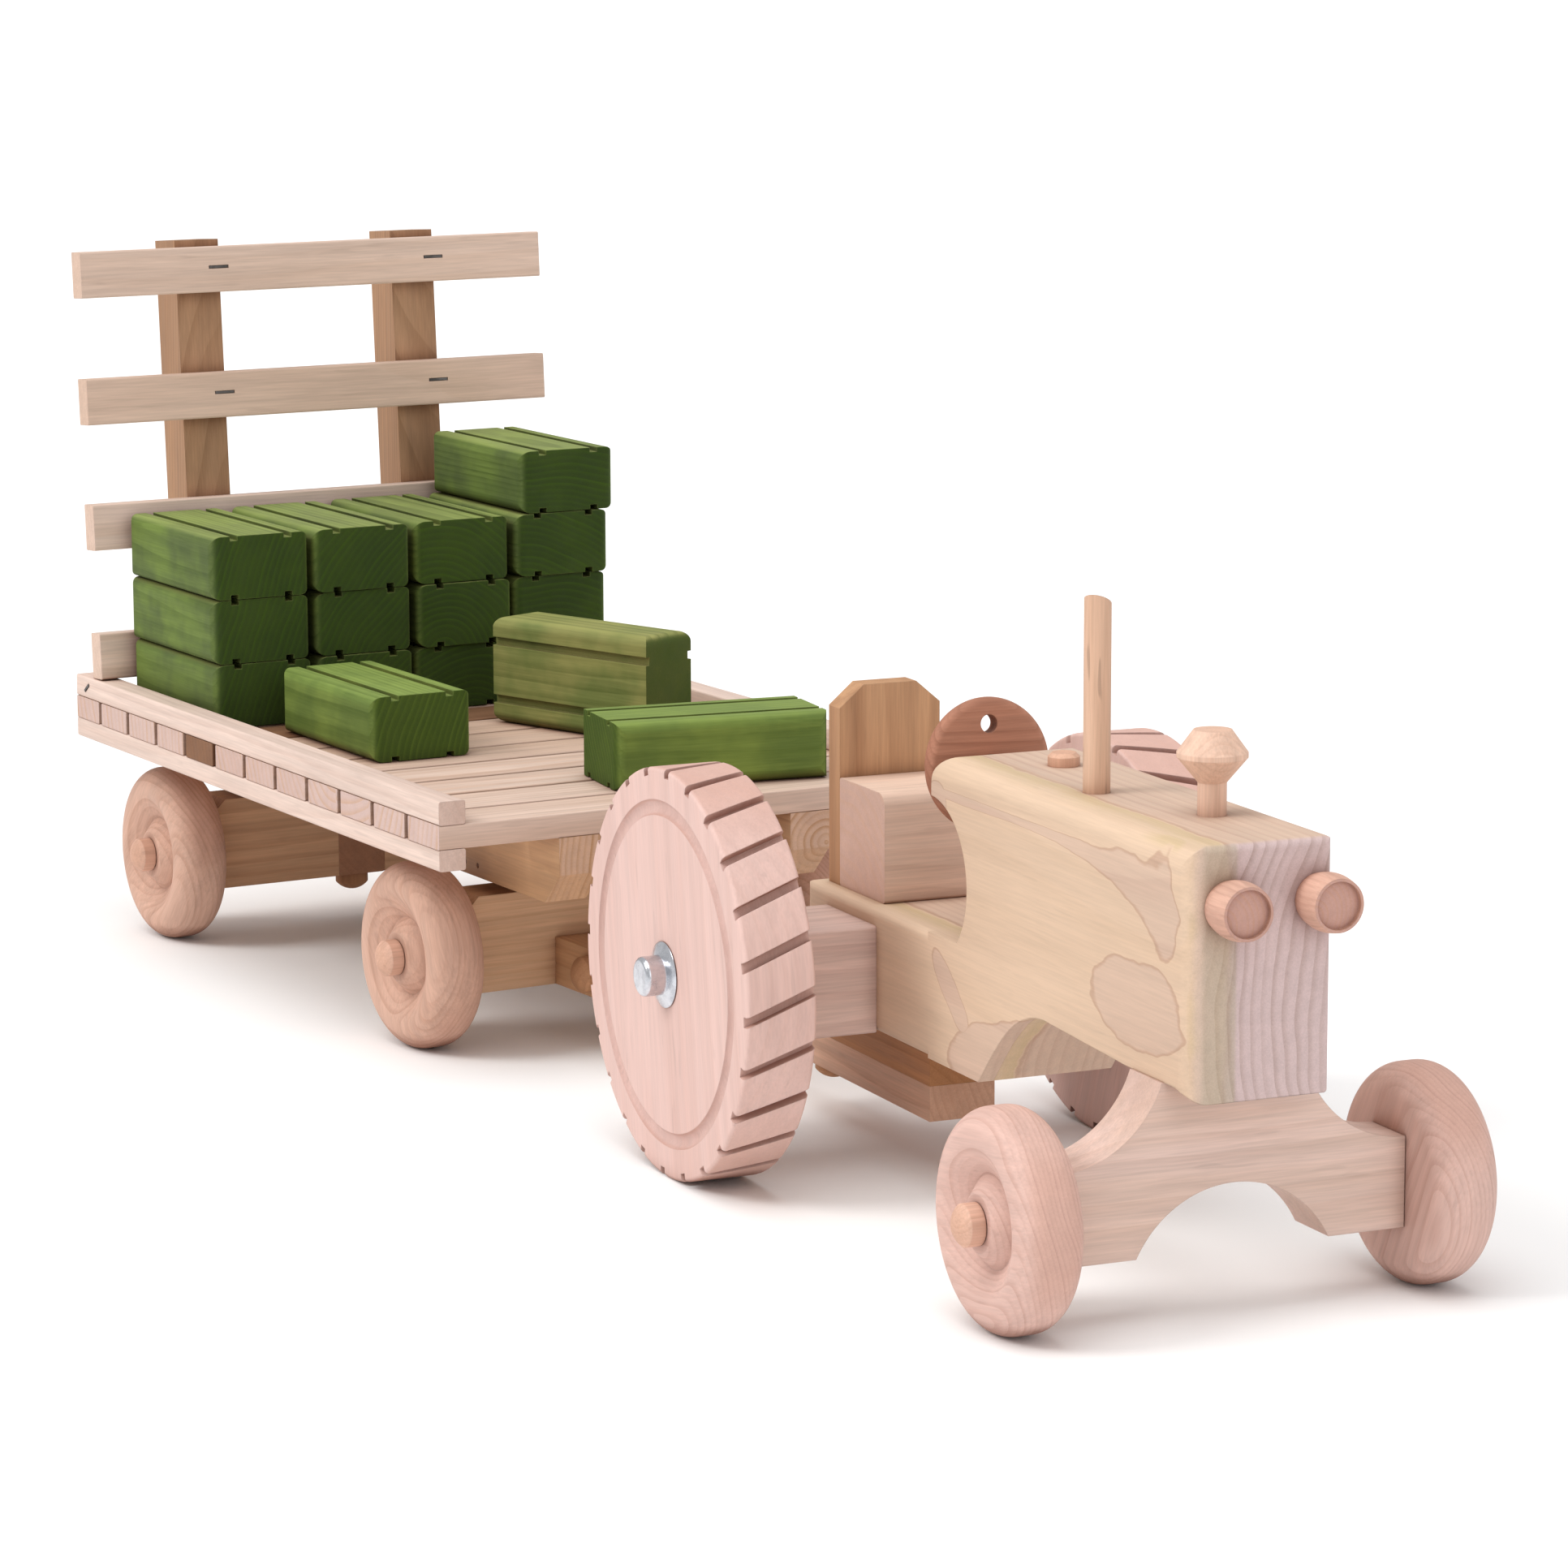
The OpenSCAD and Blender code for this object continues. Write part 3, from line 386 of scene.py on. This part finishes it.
def body_patches(g, where, colour, late):
    """Lilac heartwood in a cream block: it fills the far side and reaches the near face in patches."""
    wobble, _ = g.noise(g.stretched(where, 0.6), 62, 3.0, 0.55)
    wobble = g.math("SUBTRACT", wobble, 0.5)
    x_out, y_out, z_out = g.split(where)
    field = g.math("DIVIDE", g.math("SUBTRACT", y_out, HEART_START), HEART_FADE)
    field = g.math("ADD", field, g.math("MULTIPLY", wobble, 0.7))
    near = g.ramp(y_out, *NEAR_SKIN, 1.0, 0.0)
    shapes = []
    for x, z, half_x, half_z, tilt in HEART_PATCHES:
        a = math.radians(tilt)
        dx = g.math("SUBTRACT", x_out, x)
        dz = g.math("SUBTRACT", z_out, z)
        u = g.math("ADD", g.math("MULTIPLY", dx, math.cos(a)), g.math("MULTIPLY", dz, math.sin(a)))
        v = g.math("SUBTRACT", g.math("MULTIPLY", dz, math.cos(a)), g.math("MULTIPLY", dx, math.sin(a)))
        u = g.math("POWER", g.math("ABSOLUTE", g.math("DIVIDE", u, half_x)), PATCH_POWER)
        v = g.math("POWER", g.math("ABSOLUTE", g.math("DIVIDE", v, half_z)), PATCH_POWER)
        shapes.append(g.math("SUBTRACT", 1.0, g.math("ADD", u, v)))
    # a long tongue of heartwood that widens towards the front
    t = g.math("MAXIMUM", g.math("DIVIDE", g.math("SUBTRACT", x_out, WEDGE_TIP), WEDGE_LENGTH), 0.001)
    swell = g.math("POWER", t, WEDGE_SWELL)
    centre = g.math("SUBTRACT", WEDGE_TOP, g.math("MULTIPLY", swell, WEDGE_DROP))
    half = g.math("MULTIPLY_ADD", swell, WEDGE_HALF, 0.0012)
    off = g.math("ABSOLUTE", g.math("DIVIDE", g.math("SUBTRACT", z_out, centre), half))
    blunt = g.ramp(t, 0.9, 1.03, 0.0, 1.5)
    shapes.append(g.math("SUBTRACT", g.math("SUBTRACT", 1.0, off), blunt))
    for shape in shapes:
        shape = g.math("ADD", shape, g.math("MULTIPLY", wobble, 1.5))
        shape = g.math("MINIMUM", shape, 0.6)
        shape = g.math("ADD", g.math("MULTIPLY", shape, near), g.math("MULTIPLY_ADD", near, 3.0, -3.0))
        field = g.math("MAXIMUM", field, shape)
    heart = g.ramp(field, -0.03, 0.06)
    border = g.math("MULTIPLY", g.ramp(field, -0.04, 0.02), g.ramp(field, 0.05, 0.22, 1.0, 0.0))
    green = g.math("MULTIPLY", g.ramp(field, -0.85, -0.2), g.ramp(field, -0.1, 0.0, 1.0, 0.0))
    green = g.math("MULTIPLY", green, g.ramp(y_out, *GREEN_SKIN))
    front = g.ramp(x_out, *FRONT_SKIN)
    lilac = g.mix(front, linear(*LILAC_SIDE), linear(*LILAC_FRONT))
    lines = g.mix(front, linear(*LILAC_LINES_SIDE), linear(*LILAC_LINES_FRONT))
    lilac = g.mix(g.math("MULTIPLY", late, 0.7, clamp=True), lilac, lines)
    colour = g.mix(g.math("MULTIPLY", green, 0.45), colour, linear(*GREENISH))
    colour = g.mix(g.math("MULTIPLY", heart, 0.85), colour, lilac)
    colour = g.mix(g.math("MULTIPLY", border, 0.45), colour, linear(*BORDER_BROWN))
    band = g.math("MULTIPLY", g.ramp(y_out, *BAND_NEAR), g.ramp(y_out, *BAND_FAR, 1.0, 0.0))
    band = g.math("MULTIPLY", g.math("MULTIPLY", band, front), g.math("MULTIPLY_ADD", wobble, 0.8, 0.75))
    edge_tone = g.math("MULTIPLY", g.math("SUBTRACT", front, heart, clamp=True), 0.6)
    colour = g.mix(edge_tone, colour, linear(*FRONT_SAP))
    banded_lines = g.math("MULTIPLY", late, 0.6, clamp=True)
    banded = g.mix(banded_lines, linear(*BAND_GREY), linear(*BAND_LINES))
    return g.mix(g.math("MULTIPLY", band, 0.85), colour, banded)


# ---------------------------------------------------------------- what each piece is made of

CREAM = ((217, 189, 163), (202, 170, 138))
PINK = ((216, 180, 168), (190, 148, 134))
PALE = ((224, 200, 187), (202, 170, 154))
TAN = ((212, 174, 138), (180, 138, 104))
DOWEL = ((220, 182, 156), (196, 152, 124))
PEG = ((222, 180, 158), (196, 150, 126))
DARK_PEG = ((188, 138, 100), (146, 100, 68))
SILL_END = (214, 186, 176)
STACK_STAIN = Stain((60, 88, 8), (90, 118, 22), (32, 52, 3), (50, 74, 8), (172, 184, 108))
LOOSE_STAIN = Stain((82, 112, 18), (112, 138, 40), (46, 68, 10), (74, 96, 28), (150, 170, 90))
STREAK_STAIN = Stain((92, 110, 34), (132, 134, 64), (52, 70, 18), (62, 78, 26), (166, 166, 98))

# separate boards of one node: the axis they repeat along, their pitch, and where the first step starts
SLAT_PITCH = 26.3 * MM
SLAT_COUNT = 12
DECK_FRONT = 64.1 * MM
# each slat takes its own tone this far behind its front edge
TONE_SETBACK = 1.2 * MM
SLATS = (0, SLAT_PITCH, DECK_FRONT - SLAT_PITCH * SLAT_COUNT - TONE_SETBACK)
BALE_COLUMNS = (1, 40.5 * MM, -84 * MM)
RACK_BOARDS = (2, 46.8 * MM, 88.5 * MM)

# how far the two turned loose bales lie from the bed's own direction
EDGE_BALE_TURN = math.radians(18.1)
FRONT_BALE_TURN = math.radians(80.6)


def tractor_wood(node, pair, grain, seed, **more):
    return wood("wood_" + node, *pair, grain=grain, seed=seed, **more)


def bed_wood(node, pair, grain, seed, **more):
    return wood("wood_" + node, *pair, grain=grain, seed=seed, yaw=BED_YAW, origin=BED_ORIGIN, **more)


def axle_wood(node, pair, grain, seed, **more):
    return wood("wood_" + node, *pair, grain=grain, seed=seed, yaw=AXLE_YAW, origin=BED_ORIGIN, **more)


def wheel_wood(node, grain_deg, seed, yaw=0.0, pair=PINK, **more):
    """Wheels are cut from a board, so the grain lies in the wheel's plane."""
    centre = joint_at(node + "_spin")
    spin = (0.0, math.radians(grain_deg), 0.0)
    return wood("wood_" + node, *pair, grain="x", seed=seed, yaw=yaw, origin=centre, spin=spin,
                pith=(0.09, 0.02), end=0.5, end_tint=(202, 156, 138), **more)


made = {}
made["tractor_body"] = tractor_wood(
    "tractor_body", CREAM, "x", 1.0, pith=(0.12, 0.085), ring_mm=3.6, ring=0.25, streak=0.15, end=0.12,
    end_tint=(206, 180, 166), patches=body_patches, fleck=0.12, fibre=0.4)
made["seat_block"] = tractor_wood("seat_block", ((228, 198, 178), (208, 172, 152)), "y", 2.0, ring=0.3,
                                  pith=(0.03, 0.05), ring_mm=4.0, end=0.6, end_tint=(204, 170, 158))
made["seat_back"] = tractor_wood("seat_back", ((200, 156, 118), (176, 130, 94)), "z", 3.0, ring=0.4,
                                 streak=0.8, streak_tint=(160, 116, 84), pith=(0.02, 0.06), ring_mm=5.0)
made["seat_dowels"] = tractor_wood("seat_dowels", DOWEL, "z", 4.0)
made["steering_wheel"] = tractor_wood(
    "steering_wheel", ((178, 124, 100), (150, 98, 76)), "y", 5.0, ring=0.5, ring_mm=1.6)
made["steering_post"] = tractor_wood("steering_post", DOWEL, "x", 6.0)
made["exhaust_pipe"] = tractor_wood("exhaust_pipe", ((216, 178, 152), (196, 154, 126)), "z", 7.0,
                                    ring=0.2, fleck=0.9)
made["air_cleaner"] = tractor_wood("air_cleaner", ((230, 194, 172), (208, 166, 142)), "z", 8.0, ring_mm=1.6)
made["fuel_cap"] = tractor_wood("fuel_cap", ((226, 182, 156), (202, 152, 126)), "z", 9.0, ring=0.3)
for k, side in enumerate(("left", "right")):
    made["headlight_" + side] = tractor_wood(
        "headlight_" + side, ((214, 170, 150), (190, 144, 126)), "x", 10.0 + k, ring=0.4, ring_mm=1.6,
        pith=(0.011 - 0.028 * k, 0.118), end=0.6, end_tint=(184, 142, 134))
made["front_axle_beam"] = tractor_wood("front_axle_beam", ((222, 194, 182), (202, 168, 152)), "y", 12.0,
                                       pith=(-0.22, 0.02), ring_mm=6.0, ring=0.3, streak=0.4,
                                       streak_tint=(208, 178, 158))
made["beam_dowels"] = tractor_wood("beam_dowels", DOWEL, "z", 13.0)
made["front_wheel_pegs"] = tractor_wood("front_wheel_pegs", PEG, "y", 14.0, ring_mm=1.6,
                                        pith=(-0.199, 0.034))
for k, side in enumerate(("left", "right")):
    made["axle_block_" + side] = tractor_wood(
        "axle_block_" + side, ((224, 196, 184), (200, 166, 154)), "y", 15.0 + k, ring=0.4, ring_mm=4.5,
        pith=(-0.05, 0.02 + 0.02 * k), streak=0.4, streak_tint=(206, 174, 168), end_tint=(200, 170, 162))
made["rear_axle_rod"] = metal("metal_axle_rod", (176, 176, 178), 0.32)
made["axle_caps"] = metal("metal_axle_caps", (214, 216, 222), 0.22)
made["hitch_spacer"] = tractor_wood("hitch_spacer", ((190, 136, 94), (150, 102, 66)), "x", 17.0,
                                    pith=(0.05, 0.10))
made["drawbar"] = tractor_wood("drawbar", ((216, 174, 148), (184, 138, 112)), "x", 18.0,
                               pith=(0.06, 0.05), ring=0.5)
made["drawbar_dowels"] = tractor_wood("drawbar_dowels", DOWEL, "z", 19.0)
made["hitch_peg"] = tractor_wood("hitch_peg", DARK_PEG, "z", 20.0)
for k, (node, angle) in enumerate((("front_wheel_left", 64), ("front_wheel_right", 8))):
    made[node] = wheel_wood(node, angle, 21.0 + k, ring=0.5, streak=0.3, ring_mm=1.5, fibre=0.5)
for k, (node, angle) in enumerate((("rear_wheel_left", 70), ("rear_wheel_right", 98))):
    made[node] = wheel_wood(node, angle, 23.0 + k, ring=0.16, streak=0.3, ring_mm=3.4, fibre=0.4,
                            pair=((220, 187, 178), (202, 160, 146)))
made["tongue"] = axle_wood("tongue", TAN, "x", 25.0)
made["tongue_peg"] = axle_wood("tongue_peg", DARK_PEG, "y", 26.0)
made["clevis_cheek_left"] = axle_wood("clevis_cheek_left", ((206, 160, 122), (168, 122, 88)), "x", 27.0)
made["clevis_cheek_right"] = axle_wood("clevis_cheek_right", ((206, 160, 120), (168, 122, 86)), "x", 28.0)
made["wagon_front_beam"] = axle_wood("wagon_front_beam", ((222, 184, 148), (192, 148, 112)), "y", 29.0,
                                     pith=(0.05, 0.11))
made["wagon_front_pegs"] = axle_wood("wagon_front_pegs", PEG, "y", 30.0)
made["kingpin"] = bed_wood("kingpin", DARK_PEG, "z", 31.0)
made["front_bolster"] = bed_wood("front_bolster", TAN, "y", 32.0)
made["rear_bolster"] = bed_wood("rear_bolster", TAN, "y", 33.0)
made["sill_left"] = bed_wood("sill_left", ((210, 168, 132), (176, 132, 98)), "x", 34.0, end_tint=SILL_END)
made["sill_right"] = bed_wood("sill_right", ((206, 162, 122), (172, 126, 88)), "x", 35.0, end_tint=SILL_END)
made["wagon_rear_beam"] = bed_wood("wagon_rear_beam", ((212, 168, 132), (176, 130, 96)), "y", 36.0,
                                   pith=(0.03, 0.10))
made["rear_beam_insert"] = bed_wood("rear_beam_insert", ((190, 142, 112), (150, 104, 78)), "x", 37.0)
made["rear_beam_pin"] = bed_wood("rear_beam_pin", DARK_PEG, "z", 38.0)
made["wagon_rear_pegs"] = bed_wood("wagon_rear_pegs", PEG, "y", 39.0)
WAGON_WHEEL = ((212, 172, 152), (184, 140, 118))
for k, side in enumerate(("left", "right")):
    node = "wagon_front_" + side + "_wheel"
    made[node] = wheel_wood(node, 40 + 70 * k, 40.0 + k, yaw=AXLE_YAW, pair=WAGON_WHEEL,
                            ring=0.5, ring_mm=1.8)
    node = "wagon_rear_" + side + "_wheel"
    made[node] = wheel_wood(node, 110 - 60 * k, 42.0 + k, yaw=BED_YAW, pair=WAGON_WHEEL,
                            ring=0.5, ring_mm=1.8)
made["lower_rails"] = bed_wood("lower_rails", PALE, "x", 44.0, pith=(0.02, 0.13))
made["upper_rails"] = bed_wood("upper_rails", PALE, "x", 45.0, pith=(0.03, 0.15))
made["deck_slats"] = bed_wood(
    "deck_slats", ((220, 194, 178), (194, 156, 132)), "y", 46.0, pith=(0.0, 0.12), ring=0.45,
    ring_mm=3.4, streak=0.4, streak_tint=(198, 162, 138), pieces=SLATS, end=0.6, end_tint=(196, 168, 164))
made["heartwood_slat"] = bed_wood("heartwood_slat", ((146, 106, 78), (112, 76, 54)), "y", 47.0,
                                  pith=(0.0, 0.12))
made["rack_stakes"] = bed_wood("rack_stakes", ((178, 138, 106), (144, 106, 76)), "z", 48.0,
                               pith=(0.02, 0.05), ring=0.5, ring_mm=2.2, streak=0.5)
made["rack_boards"] = bed_wood("rack_boards", ((224, 199, 184), (204, 172, 150)), "y", 49.0,
                               pith=(0.05, 0.2), pieces=RACK_BOARDS, streak=0.3)
made["staples"] = metal("metal_staples", (104, 100, 98), 0.42)
STACK = dict(stain=STACK_STAIN, wear=0.3, rough=0.72, ring=0.5, ring_mm=2.4)
BALE = dict(stain=LOOSE_STAIN, wear=0.35, rough=0.72, ring=0.5, ring_mm=2.4)
for k, node in enumerate(("bottom_row_bales", "middle_row_bales", "top_row_bales")):
    made[node] = bed_wood(node, PALE, "x", 50.0 + k * 2.7, pieces=BALE_COLUMNS,
                          pith=(0.03, 0.07 + 0.02 * k), **STACK)
made["single_top_bale"] = bed_wood("single_top_bale", PALE, "x", 60.0, **STACK)
made["loose_bale_near"] = bed_wood("loose_bale_near", PALE, "x", 61.0, **BALE)
EDGE_BALE = dict(BALE, stain=STREAK_STAIN, ring_mm=4.0, pith=(0.02, 0.14))
made["loose_bale_on_edge"] = wood("wood_loose_bale_on_edge", *PALE, grain="x", seed=62.0,
                                  yaw=BED_YAW + EDGE_BALE_TURN, origin=BED_ORIGIN, **EDGE_BALE)
made["loose_bale_front"] = wood("wood_loose_bale_front", *PALE, grain="x", seed=63.0,
                                yaw=BED_YAW + FRONT_BALE_TURN, origin=BED_ORIGIN, **BALE)

for node, obj in NODES.items():
    obj.data.materials.clear()
    obj.data.materials.append(made[node])


# ---------------------------------------------------------------- floor, light and camera

FLOOR_HALF = 40.0
SUN_DISTANCE = 3.0
WORLD_LIGHT = 0.62
WORLD_SEEN_EXTRA = 0.45


def pale_floor():
    mesh = bpy.data.meshes.new("studio_floor")
    bm = bmesh.new()
    signs = ((-1, -1), (1, -1), (1, 1), (-1, 1))
    corners = [bm.verts.new((x * FLOOR_HALF, y * FLOOR_HALF, 0.0)) for x, y in signs]
    bm.faces.new(corners)
    bm.to_mesh(mesh)
    bm.free()
    obj = bpy.data.objects.new("studio_floor", mesh)
    bpy.context.scene.collection.objects.link(obj)
    g = Graph("studio_floor_white")
    coord = g.node("TexCoord")
    soft, _ = g.noise(coord.outputs["Object"], 3.0, 2.0)
    shader = g.node("BsdfPrincipled")
    g.link(g.mix(soft, (0.93, 0.93, 0.93, 1), (0.96, 0.96, 0.96, 1)), shader.inputs["Base Color"])
    shader.inputs["Roughness"].default_value = 0.9
    shader.inputs["Specular IOR Level"].default_value = 0.1
    out = g.node("OutputMaterial")
    g.link(shader.outputs[0], out.inputs[0])
    mesh.materials.append(g.mat)


def soft_sun(name, azimuth, elevation, strength, spread, tone=(1, 1, 1)):
    """A broad, even light from one side. Azimuth is where it comes from, as for the camera."""
    data = bpy.data.lights.new(name, "SUN")
    data.energy = strength
    data.angle = math.radians(spread)
    data.color = tone
    obj = bpy.data.objects.new(name, data)
    bpy.context.scene.collection.objects.link(obj)
    came_from = towards(math.radians(azimuth), math.radians(elevation))
    obj.location = came_from * SUN_DISTANCE
    obj.rotation_mode = "QUATERNION"
    obj.rotation_quaternion = came_from.to_track_quat("Z", "Y")


def studio_world():
    """White all round. The camera sees it brighter than it lights the toy."""
    world = bpy.data.worlds.new("studio")
    bpy.context.scene.world = world
    world.use_nodes = True
    tree = world.node_tree
    background = tree.nodes["Background"]
    background.inputs["Color"].default_value = (1.0, 1.0, 1.0, 1.0)
    path = tree.nodes.new("ShaderNodeLightPath")
    level = tree.nodes.new("ShaderNodeMath")
    level.operation = "MULTIPLY_ADD"
    level.inputs[1].default_value = WORLD_SEEN_EXTRA
    level.inputs[2].default_value = WORLD_LIGHT
    tree.links.new(path.outputs["Is Camera Ray"], level.inputs[0])
    tree.links.new(level.outputs[0], background.inputs["Strength"])


pale_floor()
studio_world()
soft_sun("key", -8, 42, 1.25, 24, (1.0, 0.99, 0.975))
soft_sun("top", 30, 78, 1.15, 50)
soft_sun("fill", 96, 24, 0.4, 40, (0.98, 0.99, 1.0))

CAMERA_AZ = math.radians(66.1846)
CAMERA_EL = math.radians(10.2354)
CAMERA_ROLL = math.radians(-0.17)
CAMERA_PLACE = ORIGIN + Vector((1.50276, -0.70815, 0.41821))
SENSOR_MM = 36.0
LENS_MM = 124.38


def photo_camera():
    data = bpy.data.cameras.new("photo_camera")
    data.sensor_width = SENSOR_MM
    data.lens = LENS_MM
    data.clip_start = 0.05
    data.clip_end = 60.0
    obj = bpy.data.objects.new("photo_camera", data)
    bpy.context.scene.collection.objects.link(obj)
    back = towards(CAMERA_AZ, CAMERA_EL)
    right = Vector((math.cos(CAMERA_AZ), math.sin(CAMERA_AZ), 0.0))
    up = back.cross(right)
    turn = Matrix((right, up, back)).transposed()
    turn = turn @ Matrix.Rotation(CAMERA_ROLL, 3, "Z")
    obj.rotation_mode = "QUATERNION"
    obj.rotation_quaternion = turn.to_quaternion()
    obj.location = CAMERA_PLACE
    bpy.context.scene.camera = obj


photo_camera()
bpy.context.scene.view_settings.view_transform = "Standard"
